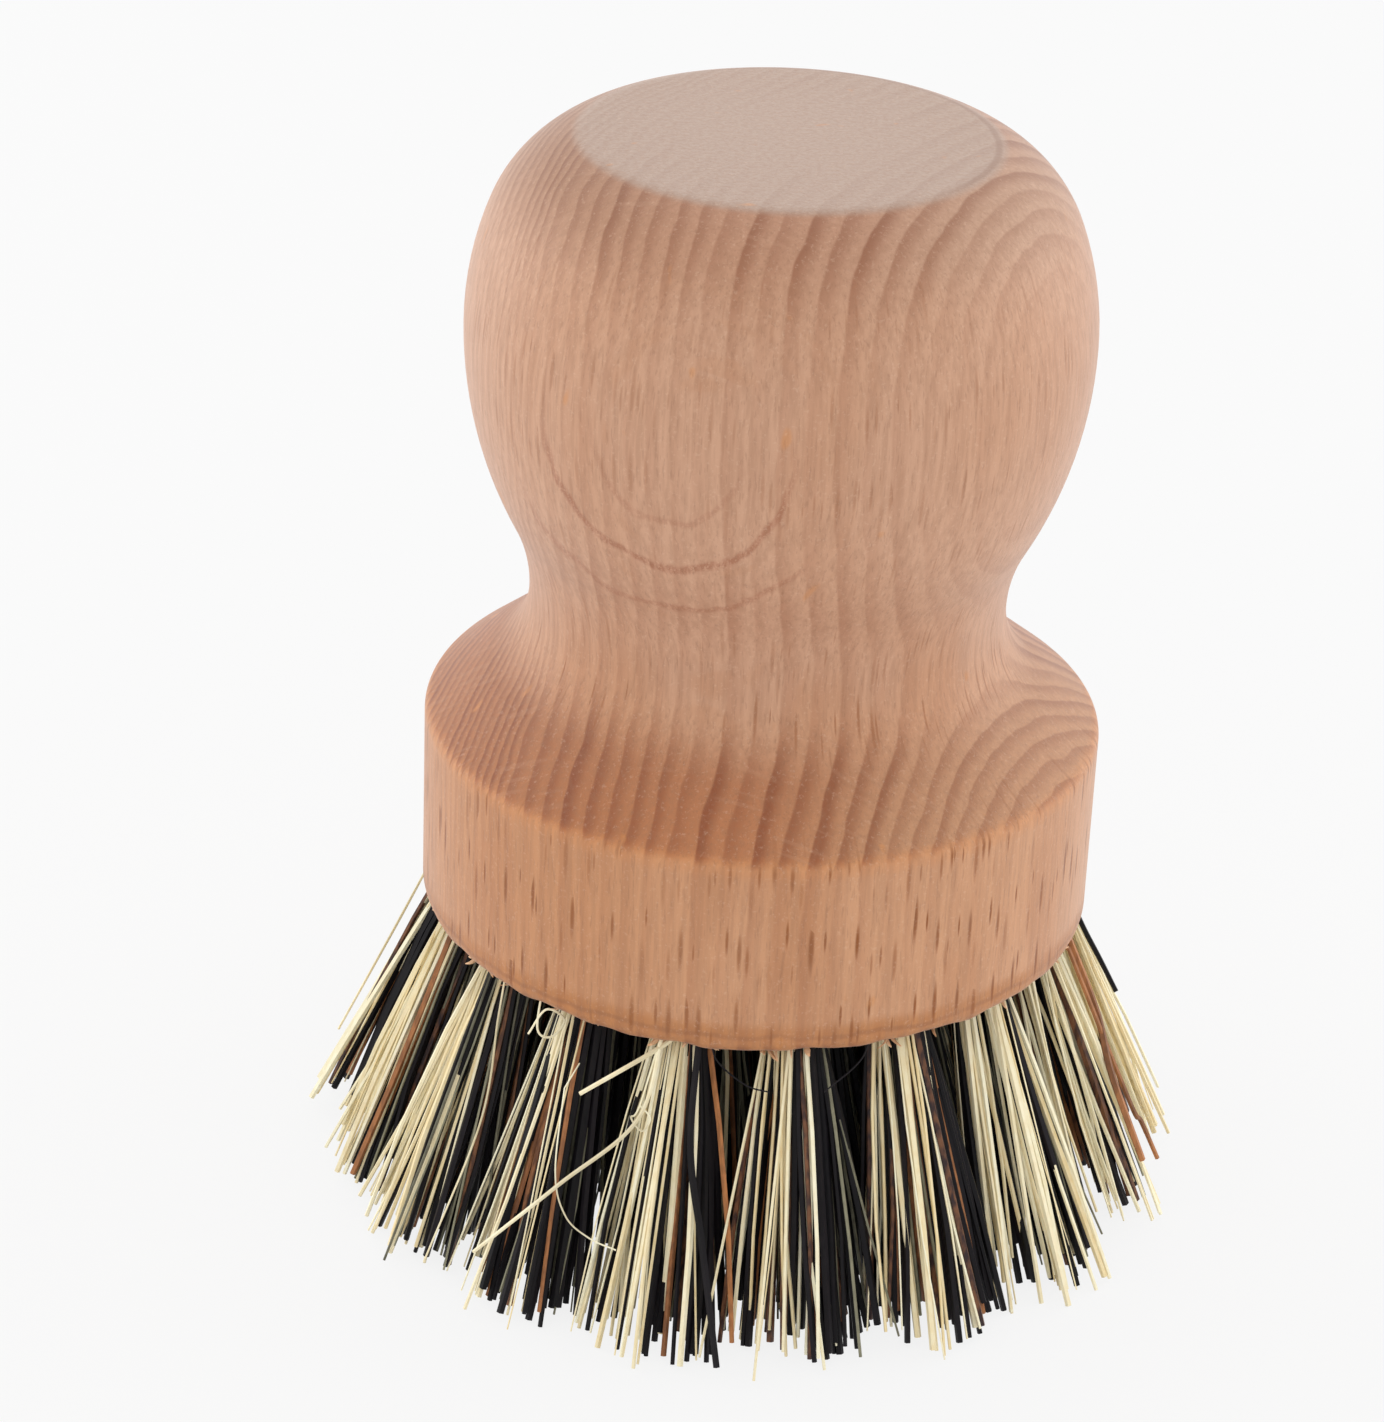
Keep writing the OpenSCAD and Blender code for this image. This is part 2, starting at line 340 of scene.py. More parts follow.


# %% [markdown]
# ## The tufts
#
# The real mix has three fibres in it: a fine pale one, a coarse black one and a coarse brown one.
# A fourth, fine and dull olive, is the pale one with painted shade, for strands that lie in shade
# inside the head. They are poorly mixed, as they are in a real bundle, so the pale ones crowd to
# one side of each tuft and the dark ones to the other. From outside this gives the broad cream and
# black stripes of the brush.
#
# The places at the hole's mouth follow the seeds of a sunflower, which fill a circle evenly. Each
# end then leans outwards by its place, wanders a little, and stops near the plane to which the
# brush was trimmed.

# %% How a tuft's fibres run
ANCHOR_TOP, ANCHOR_TURN = 7.9, 45.0
CREAM, BLACK, BROWN, SHADED_CREAM = 0, 1, 2, 3
PAIRS = 52                              # fibres folded into one hole
SEAT_R, ROOM_R = 2.25, 2.35             # where the outermost fibre sits, and the room in a hole
GOLDEN_TURN = 2.39996                   # radians from one seed of a sunflower to the next
TIP_OUT = 5.2                           # the farthest that a tip spreads outwards
across_anchor = Vector((math.cos(math.radians(ANCHOR_TURN)),
                        math.sin(math.radians(ANCHOR_TURN)), 0))
along_anchor = Vector((-across_anchor.y, across_anchor.x, 0))


def half_fibre(root, tip, bend, lean, trim):
    """The places of half a fibre, from just under the anchor's top down to the trimmed end."""
    length = (BRISTLE_L - trim + tip.x * math.sin(lean)) / math.cos(lean)
    places = [root * 0.92 + Vector((0, 0, 5.6)), root + Vector((0, 0, 0.2))]
    for share in (0.3, 0.65, 1.0):
        at = root.lerp(tip, share) + bend * (4 * share * (1 - share))
        at.z = -length * share
        places.append(at)
    return places


def choose_fibre(dice, mixed, pale_share, shaded_cream_share):
    """Picks the kind and the radius of a fibre by where it stands in the poorly mixed bundle."""
    if mixed >= pale_share:
        # Some fibres on the dark side are pale ones in painted shade, drawn dull olive.
        if dice.random() < shaded_cream_share:
            return SHADED_CREAM, dice.uniform(0.09, 0.19)
        return (BROWN if dice.random() < 0.2 else BLACK), dice.uniform(0.22, 0.42)
    fine = dice.random()
    low, high = (0.07, 0.12) if fine < 0.2 else (0.14, 0.25) if fine < 0.85 else (0.28, 0.38)
    return CREAM, dice.uniform(low, high)


# %% Make the tufts
FIRST_SEED = 700


def make_tuft(node, ring, bearing, place, seed):
    """All the fibres of one hole, as one piece that stands for the CAD tuft."""
    dice = random.Random(seed)
    lean = math.radians(OUTER_LEAN * ring / OUTER_RING)
    outer = node.startswith("tuft_outer")
    pale_share = 0.29 + 0.13 * abs(math.cos(math.radians(bearing))) if outer else 0.15
    # The inner tufts have more of the pale fibres in painted shade.
    shaded_cream_share = 0.22 if outer else 0.55
    bm = new_bundle()
    short = dice.uniform(0.0, 0.6)
    shift = dice.uniform(-0.15, 0.15)
    for i in range(PAIRS):
        out, turn = SEAT_R * math.sqrt((i + 0.5) / PAIRS), i * GOLDEN_TURN
        seat = Vector((out * math.cos(turn), out * math.sin(turn), 0))
        u, w = seat.dot(along_anchor), abs(seat.dot(across_anchor)) + 0.25
        mixed = 0.5 + 0.42 * (u / 2.3 + shift + dice.gauss(0, 0.40))
        kind, radius = choose_fibre(dice, mixed, pale_share, shaded_cream_share)
        loose = 1.2 if kind in (CREAM, SHADED_CREAM) else 0.7
        ends = []
        for half in (1, -1):
            root = along_anchor * (u + dice.gauss(0, 0.08)) + across_anchor * (w * half)
            if root.length > ROOM_R - radius:
                root *= (ROOM_R - radius) / root.length
            tip = Vector((root.x * 1.8 + dice.gauss(0, loose),
                          root.y * 2.6 + dice.gauss(0, loose), 0))
            tip.x = min(tip.x, TIP_OUT)
            bend = Vector((dice.gauss(0, 0.3), dice.gauss(0, 0.3), 0))
            trim = short + min(max(dice.gauss(0.7, 0.7), 0.05), 3.0)
            ends.append(half_fibre(root, tip, bend, lean, trim))
        over_wire = ANCHOR_TOP + radius + dice.uniform(0, 0.6)
        fold = along_anchor * u * 0.8 + Vector((0, 0, over_wire))
        tone = dice.random() ** (2 if kind == BROWN else 1)
        # Painted shade: the fibres of the inner tufts get a lower tone, apart from the pale ones in
        # shade.
        tone = tone * (1 if outer or kind == SHADED_CREAM else 0.4)
        lay_fibre(bm, ends[0][::-1] + [fold] + ends[1], radius, kind, tone, place)
    for v in bm.verts:
        v.co.z = max(v.co.z, 0.0)
    tuft = mesh_object("fibres_" + node, bm, MM)
    return finish_piece(tuft, "mixed_fibre", 50, node)


tufts = [make_tuft(node, ring, bearing, place, FIRST_SEED + n)
         for n, (node, ring, bearing, place) in enumerate(holes)]
triangles = sum(len(face.vertices) - 2 for tuft in tufts for face in tuft.data.polygons)
print("tufts:", len(tufts), "triangles:", triangles)

# %% [markdown]
# ## Stray fibres and torn wood
#
# What makes a brush look real is what went a little wrong in the making. A few fibres left the
# trimmer bent outwards, and lie across their neighbours on the outside of the head. Each is given
# by a few stations on the cone that the outer tufts fill. A station is a compass bearing, a height
# above the floor and, for some, how far it stands out from the cone. A smooth path is run through
# the stations. The drill also tore small slivers of beech at the outer holes, which hang from the
# lower edge of the base.

# %% A smooth path through a few stations
CONE_TOP, CONE_SLOPE = 26.0, 0.45       # the cone's radius at the wood, and its gain per mm down


def outside(bearing, height, proud=0.8):
    """A point on the outside of the flared head."""
    out = CONE_TOP + CONE_SLOPE * (BRISTLE_L - height) + proud
    turn = math.radians(bearing)
    return Vector((out * math.cos(turn), out * math.sin(turn), height))


def smooth_path(stations, rings):
    """As many places as a rod has rings, on a smooth path through the stations."""
    before, after = 2 * stations[0] - stations[1], 2 * stations[-1] - stations[-2]
    ends = [before] + stations + [after]
    places = []
    for i in range(rings):
        run = i / (rings - 1) * (len(stations) - 1)
        stretch = min(int(run), len(stations) - 2)
        a, b, c, d = ends[stretch:stretch + 4]
        t = run - stretch
        places.append(0.5 * (2 * b + (c - a) * t + (2 * a - 5 * b + 4 * c - d) * t ** 2
                             + (3 * b - a - 3 * c + d) * t ** 3))
    return places


# %% Stray fibres
STRAYS = [
    (CREAM, 0.17, [(-104, 25), (-106, 18.5), (-116, 12.5), (-126, 5.5)]),
    (CREAM, 0.20, [(-101, 25.5), (-104, 24), (-116, 19.3)]),
    (CREAM, 0.09, [(-137, 25.5), (-135, 22), (-131.5, 14.5), (-133, 3)]),
    (CREAM, 0.07, [(-119, 20), (-117, 13.4), (-114, 10.5), (-110, 9.4), (-106, 9)]),
    (CREAM, 0.10, [(-128, 25.5), (-126.5, 22.6), (-123.5, 22.5), (-122, 24), (-126, 24.2),
                   (-128, 22)]),
    (CREAM, 0.08, [(-104, 25.5), (-106, 19.5), (-107, 18.6), (-105, 17.8), (-104, 18.8),
                   (-106, 19.6)]),
    (BLACK, 0.30, [(-98, 25.5, 0.0), (-97.5, 17, 0.2), (-94.5, 10, 0.2), (-91.5, 1.2, 0.0)]),
    (BLACK, 0.24, [(3, 25.5, 0.2), (2.9, 21, 0.3), (2.6, 17.8, 0.6), (0.2, 15.6, 1.0)]),
    (BROWN, 0.32, [(-14, 25.5), (-14.3, 18), (-17.5, 13.5), (-18, 6)]),
    (BROWN, 0.22, [(-16, 25), (-15, 10.5), (-13.5, 8), (-12.8, 4.4)]),
    (BLACK, 0.07, [(-96, 25.5), (-94.5, 23.6), (-89.7, 22), (-85.7, 21.5)]),
    (BLACK, 0.07, [(-68, 25.5), (-70.6, 23.4), (-77, 21.4)]),
    (CREAM, 0.09, [(95, 25.5), (98, 17), (108, 10), (111, 3)]),
    (CREAM, 0.16, [(52, 25.5), (50, 16), (41, 7)]),
    (CREAM, 0.12, [(170, 25.5), (166, 15), (172, 5)]),
]
bm = new_bundle()
dice = random.Random(41)
for kind, radius, stations in STRAYS:
    path = smooth_path([outside(*station) for station in stations], LONG_ROD)
    path[0] = path[0] * 0.93 + Vector((0, 0, 1.8))
    lay_fibre(bm, path, radius, kind, dice.uniform(0.4, 1.0), Matrix.Identity(4), 0.1)
strays = finish_piece(mesh_object("stray_fibres", bm, MM), "mixed_fibre", 50)
print("stray fibres:", len(STRAYS))

# %% Torn slivers of beech
bm = new_bundle()
dice = random.Random(9)
slivers = 0
for _, _, _, place in holes[:OUTER_COUNT]:
    for _ in range(dice.randint(3, 6)):
        turn = math.radians(dice.uniform(-70, 70))
        rim = Vector((math.cos(turn), math.sin(turn), 0))
        start, size = rim * dice.uniform(2.7, 3.4) + Vector((0, 0, -0.3)), dice.uniform(0.3, 1.0)
        sideways = Vector((-rim.y, rim.x, 0)) * dice.gauss(0, 0.5)
        hanging = start + Vector((0, 0, -0.8)) + rim * 0.05
        bent = start + (rim * 0.25 + sideways) * size + Vector((0, 0, -0.9 - 0.5 * size))
        tip = start + (rim * 0.5 + sideways * 2) * size + Vector((0, 0, -0.9 - 0.8 * size))
        path = smooth_path([start, hanging, bent, tip], LOW_ROD)
        lay_fibre(bm, path, dice.uniform(0.09, 0.30), 0, dice.random(), place, 0.75)
        slivers += 1
torn = finish_piece(mesh_object("torn_slivers", bm, MM), "beech", 50)
print("slivers:", slivers)

# %% [markdown]
# ## Materials from nodes
#
# A few short helpers keep the node code readable. One adds a node and sets its options and inputs.
# The others build on it: a step of arithmetic, a soft ramp between two values, a mix of two
# colours, and a new material. An input may be a number, a colour or another node's socket.


# %% Helpers for nodes
def node_in(tree, kind, inputs=(), **options):
    """Adds a node, sets its options, and feeds its inputs, which are given by name or number."""
    made = tree.nodes.new(kind)
    for key, value in options.items():
        setattr(made, key, value)
    for key, value in dict(inputs).items():
        if isinstance(value, bpy.types.NodeSocket):
            tree.links.new(value, made.inputs[key])
        else:
            made.inputs[key].default_value = value
    return made


def maths(tree, operation, *values, clamp=False):
    """One step of arithmetic on numbers or sockets."""
    inputs = dict(enumerate(values))
    return node_in(tree, "ShaderNodeMath", inputs, operation=operation, use_clamp=clamp).outputs[0]


def between(tree, value, low, high, to_low=0.0, to_high=1.0):
    """Goes smoothly from to_low to to_high while the value goes from low to high."""
    inputs = {"Value": value, "From Min": low, "From Max": high,
              "To Min": to_low, "To Max": to_high}
    return node_in(tree, "ShaderNodeMapRange", inputs, interpolation_type="SMOOTHSTEP").outputs[0]


def blended(tree, share, first, second, how="MIX"):
    """Mixes two colours by a share from 0 to 1."""
    made = node_in(tree, "ShaderNodeMix", {0: share}, data_type="RGBA", blend_type=how)
    for key, value in ((6, first), (7, second)):
        if isinstance(value, bpy.types.NodeSocket):
            tree.links.new(value, made.inputs[key])
        else:
            made.inputs[key].default_value = (*value, 1)
    return made.outputs[2]


def new_material(name, colour):
    """A material with an empty tree apart from its shader and its output."""
    made = bpy.data.materials.new(name)
    made.use_nodes = True
    made.diffuse_color = (*colour, 1)
    return made, made.node_tree, made.node_tree.nodes["Principled BSDF"]


# %% [markdown]
# ## Beech
#
# Beech has growth rings, drawn where the lathe cuts across them: bold on the slope of the base and
# the shoulder of the knob, faint on the upright walls. Each ring darkens slowly towards the bark
# and ends in a sharp line. The wood also has rays, thin upright plates that run out from the
# middle of the tree. The walls cut their edges, which show as short dark dashes, a little fainter
# where a wall runs along the plates. There the plates also lie in the wall as wide soft flecks,
# and on the slope they are fine pale lines.
#
# Rings and rays are solids in the wood, so the pattern is worked out in space, and the turned
# surface cuts it as the lathe does. A flat picture of wood wrapped round the handle would show
# none of that. The middle of the tree lies 86 mm from the handle's axis, to the right and forward,
# which makes the lines on the slope bend into arcs.

# %% Beech material: shorthand for its tree
beech, tree, shader = new_material("turned_beech", (0.6, 0.36, 0.24))
coords = node_in(tree, "ShaderNodeTexCoord")
in_mm = {0: coords.outputs["Object"], 3: 1000.0}
spot = node_in(tree, "ShaderNodeVectorMath", in_mm, operation="SCALE").outputs[0]
x, y, z = node_in(tree, "ShaderNodeSeparateXYZ", {0: spot}).outputs
nx, ny, nz = node_in(tree, "ShaderNodeSeparateXYZ", {0: coords.outputs["Normal"]}).outputs


def stretched(vector, scale):
    """A vector with its x, y and z scaled each by its own number."""
    inputs = {0: vector, 1: scale}
    return node_in(tree, "ShaderNodeVectorMath", inputs, operation="MULTIPLY").outputs[0]


def noise(vector, scale, detail=2.0, rough=0.5):
    """Smooth noise from 0 to 1. The scale is in waves per millimetre."""
    inputs = {"Vector": vector, "Scale": scale, "Detail": detail, "Roughness": rough}
    return node_in(tree, "ShaderNodeTexNoise", inputs).outputs[0]


def times(first, second):
    """The product of two numbers or sockets."""
    return maths(tree, "MULTIPLY", first, second)


def plus(first, second):
    """The sum of two numbers or sockets."""
    return maths(tree, "ADD", first, second)


def size_of(value):
    """A number or socket without its sign."""
    return maths(tree, "ABSOLUTE", value)


# %% Beech material: places in the wood
PITH = (76.0, -41.0)                    # the middle of the tree
from_x, from_y = plus(x, -PITH[0]), plus(y, -PITH[1])
far = maths(tree, "SQRT", plus(times(from_x, from_x), times(from_y, from_y)))
off_axis = maths(tree, "SQRT", plus(times(x, x), times(y, y)))
outward = size_of(maths(tree, "DIVIDE", plus(times(from_x, nx), times(from_y, ny)), far))
flatness = size_of(nz)
upright = plus(times(flatness, -1.0), 1.0)
crown = between(tree, z, 89.65, 89.99)

# %% Beech material: growth rings
# Distance from the middle of the tree, and the count of rings out to there: the rings are widest
# near the middle of the handle, and narrow at its left
RING_COUNTS = [(50, 0), (67, 12.5), (72, 15.2), (84, 21.0), (93, 26.0), (98, 29.0), (110, 44.0),
               (120, 57.0)]
wave = plus(noise(stretched(spot, (1, 1, 0.5)), 0.06), -0.5)
ripple = plus(noise(stretched(spot, (1, 1, 0.7)), 0.3), -0.5)
wavy = plus(far, plus(times(wave, 2.2), times(ripple, 0.7)))
first, last = RING_COUNTS[0], RING_COUNTS[-1]
reach = maths(tree, "DIVIDE", plus(wavy, -first[0]), last[0] - first[0])
curve = node_in(tree, "ShaderNodeFloatCurve", {"Value": reach})
chart = curve.mapping.curves[0]
for distance, rings_so_far in RING_COUNTS[1:-1]:
    chart.points.new((distance - first[0]) / (last[0] - first[0]), rings_so_far / last[1])
for point in chart.points:
    point.handle_type = "VECTOR"
curve.mapping.update()
years = times(curve.outputs[0], float(last[1]))
within = maths(tree, "FRACT", years)
luck = {1: maths(tree, "FLOOR", years)}
luck = node_in(tree, "ShaderNodeTexWhiteNoise", luck, noise_dimensions="1D").outputs[0]
late = times(between(tree, within, 0.15, 0.86), between(tree, within, 0.88, 1.0, 1.0, 0.0))
late = times(late, plus(times(luck, 0.7), 0.55))

# %% Beech material: where the rings are bold
across_grain = between(tree, flatness, 0.1, 0.85, 0.30, 1.0)
across_grain = times(across_grain, plus(times(maths(tree, "POWER", outward, 4.0), -0.5), 1.0))
sanded = plus(times(crown, plus(times(between(tree, off_axis, 4.0, 15.5), 0.25), -1.0)), 1.0)
rings = times(times(late, between(tree, z, 50.0, 58.0, 1.0, 0.8)), times(across_grain, sanded))
rings = times(rings, between(tree, far, 60.0, 74.0, 0.65, 1.0))
print("nodes for the rings:", len(tree.nodes))

# %% Beech material: rays
around = times(maths(tree, "ARCTAN2", from_y, from_x), 80.0)
plates = {0: times(around, 1.6), 1: times(far, 0.12), 2: times(z, 0.16)}
plates = node_in(tree, "ShaderNodeCombineXYZ", plates).outputs[0]
cells = node_in(tree, "ShaderNodeTexVoronoi", {"Vector": plates, "Scale": 1.0})
lot, other, _ = node_in(tree, "ShaderNodeSeparateColor", {0: cells.outputs["Color"]}).outputs
ray_size = plus(times(lot, 0.26), 0.2)
ray = maths(tree, "DIVIDE", cells.outputs["Distance"], ray_size)
ray = times(between(tree, ray, 0.5, 1.0, 1.0, 0.0), between(tree, other, 0.1, 0.6, 0.25, 1.0))
ribbon = times(ray, times(upright, plus(times(outward, -1.0), 1.0)))
pale_line = times(ray, times(flatness, plus(times(crown, -0.6), 1.0)))

# %% Beech material: dashes
# The walls cut the thin edges of the plates, so each dash is laid out on the wall itself, as a
# cell that is narrow round the handle and long up it
round_wall = times(maths(tree, "ARCTAN2", y, x), BASE_R)
cuts = {0: times(round_wall, 1.3), 1: times(z, 0.14)}
cuts = node_in(tree, "ShaderNodeCombineXYZ", cuts).outputs[0]
cuts = node_in(tree, "ShaderNodeTexVoronoi", {"Vector": cuts, "Scale": 1.0},
               voronoi_dimensions="2D")
lot, other, _ = node_in(tree, "ShaderNodeSeparateColor", {0: cuts.outputs["Color"]}).outputs
dash_size = plus(times(maths(tree, "POWER", lot, 1.5), 0.28), 0.13)
dash = maths(tree, "DIVIDE", cuts.outputs["Distance"], dash_size)
dash = times(between(tree, dash, 0.25, 1.0, 1.0, 0.0), between(tree, other, 0.05, 0.85))
dash = times(dash, times(upright, between(tree, outward, 0.0, 0.6, 0.75, 1.0)))
dash = times(dash, between(tree, z, 60.0, 42.0, 0.4, 1.0))

# %% Beech material: fine grain and specks
streak = noise(stretched(spot, (1, 1, 0.06)), 2.4, 3.0, 0.6)
pores = between(tree, noise(stretched(spot, (1, 1, 0.12)), 5.5, 1.0), 0.60, 0.70)
cloud = noise(stretched(spot, (1, 1, 0.35)), 0.12, 1.0)
grit = noise(spot, 3.2, 2.0, 0.7)
speck = between(tree, noise(stretched(spot, (1, 1, 0.6)), 0.55, 0.0), 0.80, 0.86)

# %% Beech material: rings that bulge round a knot
# They are the lower halves of three ovals about one place on the front of the knob, and the
# streaks of the wood break them up
KNOT_X, KNOT_Z, KNOT_SQUASH = -7.9, 73.8, 0.89
OVALS = [(13.3, 0.7), (9.5, 1.0), (5.6, 0.45)]
aside, below = plus(x, -KNOT_X), times(plus(z, -KNOT_Z), KNOT_SQUASH)
from_knot = maths(tree, "SQRT", plus(times(aside, aside), times(below, below)))
from_knot = plus(from_knot, times(ripple, 1.8))
knot = 0.0
for oval, strength in OVALS:
    near = between(tree, size_of(plus(from_knot, -oval)), 0.10, 0.42, strength, 0.0)
    knot = maths(tree, "MAXIMUM", near, knot)
knot = times(knot, times(between(tree, size_of(aside), 8.5, 12.0, 1.0, 0.0),
                         between(tree, y, -8.0, -14.0)))
knot = times(knot, times(between(tree, z, 77.0, 68.0),
                         between(tree, streak, 0.36, 0.54, 0.45, 1.0)))
print("nodes for all the patterns:", len(tree.nodes))

# %% Beech material: tones
# The crown's tone is the sanded wood with painted sheen: paler and greyer than the knob.
KNOB_TONE, CROWN_TONE_AND_SHEEN = (0.58, 0.325, 0.205), (0.42, 0.292, 0.225)
# The tones for the left side are darker: painted shade on the handle's left.
SHOULDER_TONE, SHOULDER_SHADED_LEFT = (0.46, 0.235, 0.14), (0.38, 0.195, 0.112)
SHOULDER_RIGHT = (0.49, 0.30, 0.20)
SLOPE_TONE, SLOPE_SHADED_LEFT, SLOPE_RIGHT = (0.43, 0.15, 0.05), (0.39, 0.135, 0.043), (0.48, 0.24, 0.12)
WALL_TONE, WALL_SHADED_LEFT = (0.60, 0.305, 0.16), (0.55, 0.255, 0.115)
# The crease tone is a painted highlight along the base's upper edge.
# The rim tones are painted shade on the base's lower edge, and a painted shadow line on it.
RIM_SHADE_TONE, RIM_SHADOW_LINE_TONE, CREASE_HIGHLIGHT_TONE = (0.46, 0.17, 0.04), (0.30, 0.11, 0.04), (0.66, 0.27, 0.09)
PATCH_TONE, LATE_TINT = (0.50, 0.215, 0.09), (0.60, 0.43, 0.33)
DASH_TONE, FLECK_TONE, PALE_LINE_TONE = (0.26, 0.07, 0.004), (0.47, 0.20, 0.085), (0.68, 0.46, 0.32)
KNOT_TONE, SPECK_TONE, STREAK_TONE = (0.33, 0.105, 0.045), (0.62, 0.25, 0.07), (0.30, 0.14, 0.07)
# The crown's edge tone is a painted shade line.
PORE_TONE, GRIT_TONE, CROWN_EDGE_SHADE_TONE = (0.26, 0.12, 0.06), (0.75, 0.5, 0.36), (0.25, 0.12, 0.07)

# %% Beech material: the pale wood between the lines, with painted shade, sheen and a highlight
facing_up = between(tree, flatness, 0.25, 0.95)
# Painted shade: the shoulder and the slope grow darker towards the left.
shaded_left = between(tree, x, -4.0, -18.0)
on_top = blended(tree, between(tree, far, 62.0, 78.0), SHOULDER_RIGHT, SHOULDER_TONE)
on_top = blended(tree, shaded_left, on_top, SHOULDER_SHADED_LEFT)
high = blended(tree, facing_up, KNOB_TONE, on_top)
# Painted sheen: the flat crown is paler and greyer than the knob below it.
high = blended(tree, crown, high, CROWN_TONE_AND_SHEEN)
slope = blended(tree, between(tree, far, 66.0, 80.0), SLOPE_RIGHT, SLOPE_TONE)
slope = blended(tree, shaded_left, slope, SLOPE_SHADED_LEFT)
# Painted shade: the wall grows darker towards the left.
wall = blended(tree, between(tree, x, -16.0, 0.0), WALL_SHADED_LEFT, WALL_TONE)
low = blended(tree, facing_up, wall, slope)
# Painted shade on the lowest part of the wall and its rounded edge, and a painted shadow line near
# where the rounding begins.
rim_shade_share = between(tree, plus(z, times(ripple, 0.8)), 27.6, 26.3, 0.0, 0.75)
low = blended(tree, rim_shade_share, low, RIM_SHADE_TONE)
rim_shadow_line = size_of(plus(plus(z, times(ripple, 1.2)), -25.95))
rim_shadow_line = between(tree, rim_shadow_line, 0.05, 0.35, 1.0, 0.0)
low = blended(tree, times(rim_shadow_line, 0.5), low, RIM_SHADOW_LINE_TONE)
early = blended(tree, between(tree, z, 54.0, 42.0), high, low)
patch = times(between(tree, cloud, 0.42, 0.65),
              times(upright, between(tree, z, 64.0, 40.0, 0.2, 0.55)))
early = blended(tree, patch, early, PATCH_TONE)
# A painted highlight along the edge between the base's wall and its slope.
crease_highlight = times(between(tree, size_of(plus(off_axis, -26.9)), 0.2, 1.0, 1.0, 0.0),
               between(tree, size_of(plus(z, -40.8)), 0.2, 1.1, 1.0, 0.0))
early = blended(tree, times(crease_highlight, 0.6), early, CREASE_HIGHLIGHT_TONE)

# %% Beech material: the lines and specks over it, and a painted shade line at the crown's edge
wood = blended(tree, rings, early, blended(tree, 1.0, early, LATE_TINT, "MULTIPLY"))
wood = blended(tree, dash, wood, DASH_TONE)
wood = blended(tree, times(ribbon, 0.3), wood, FLECK_TONE)
wood = blended(tree, times(pale_line, 0.1), wood, PALE_LINE_TONE)
wood = blended(tree, times(knot, times(between(tree, grit, 0.3, 0.5), 0.7)), wood, KNOT_TONE)
wood = blended(tree, times(speck, 0.5), wood, SPECK_TONE)
wood = blended(tree, between(tree, streak, 0.35, 0.7, 0.0, 0.30), wood, STREAK_TONE)
wood = blended(tree, times(pores, 0.22), wood, PORE_TONE)
wood = blended(tree, between(tree, grit, 0.55, 0.75, 0.0, 0.22), wood, GRIT_TONE)
# A painted shade line along the crown's edge, on its right and back.
crown_edge_shade = times(between(tree, size_of(plus(off_axis, -16.0)), 0.1, 0.4, 1.0, 0.0),
                   times(crown, between(tree, plus(x, times(y, 0.8)), 0.0, 9.0)))
wood = blended(tree, times(crown_edge_shade, 0.5), wood, CROWN_EDGE_SHADE_TONE)
tree.links.new(wood, shader.inputs["Base Color"])

# %% Beech material: how the surface catches the light
shader.inputs["Roughness"].default_value = 0.55
shader.inputs["Specular IOR Level"].default_value = 0.45
shader.inputs["Sheen Weight"].default_value = 0.25
shader.inputs["Sheen Roughness"].default_value = 0.4
raised = plus(times(streak, 0.6), times(grit, 0.7))
sunk = plus(times(pores, 0.5), times(dash, 0.8))
relief = {"Strength": 0.3, "Distance": 0.0001, "Height": plus(raised, times(sunk, -1.0))}
bump = node_in(tree, "ShaderNodeBump", relief)
tree.links.new(bump.outputs[0], shader.inputs["Normal"])
handle.data.materials.clear()
handle.data.materials.append(beech)
print("nodes in the beech:", len(tree.nodes))

# %% [markdown]
# ## The four fibre materials, one the pale fibre in painted shade, and the wire
#
# Each fibre carries two numbers on its mesh: a tone of its own, and how far along it a point lies.
# The materials read them, so no two neighbours have quite the same colour, and each fibre has a
# little painted shade where it leaves the wood. In the inner tufts the tone is also lowered, as
# painted shade inside the head. The torn slivers of beech use the same material with tones of
# their own, paler than the handle: partly torn fibre, partly painted light against the shade under
# the base.


# %% Fibre materials
def fibre_material(name, dull, bright, rough, mottled=0.25, specular=0.5):
    """Plant fibre: a colour of its own for every fibre, with fine streaks along it."""
    made, tree, shader = new_material(name, bright)
    tone = node_in(tree, "ShaderNodeAttribute", attribute_name="tone").outputs["Fac"]
    along = node_in(tree, "ShaderNodeAttribute", attribute_name="along").outputs["Fac"]
    drawn_out = {0: node_in(tree, "ShaderNodeTexCoord").outputs["Object"], 1: (1, 1, 0.15)}
    drawn_out = node_in(tree, "ShaderNodeVectorMath", drawn_out, operation="MULTIPLY").outputs[0]
    grain = {"Vector": drawn_out, "Scale": 2200.0, "Detail": 3.0}
    grain = node_in(tree, "ShaderNodeTexNoise", grain).outputs[0]
    share = maths(tree, "ADD", maths(tree, "MULTIPLY", tone, 1 - mottled),
                  between(tree, grain, 0.35, 0.65, 0.0, mottled), clamp=True)
    colour = blended(tree, share, dull, bright)
    # Painted shade: each fibre darkens near the middle of its length, where it leaves the wood.
    root_shade = between(tree, along, 0.3, 0.65, 0.45, 0.0)
    colour = blended(tree, root_shade, colour, tuple(part * 0.45 for part in dull))
    tree.links.new(colour, shader.inputs["Base Color"])
    shader.inputs["Roughness"].default_value = rough
    shader.inputs["Specular IOR Level"].default_value = specular
    relief = {"Strength": 0.3, "Distance": 0.00005, "Height": grain}
    bump = node_in(tree, "ShaderNodeBump", relief)
    tree.links.new(bump.outputs[0], shader.inputs["Normal"])
    return made


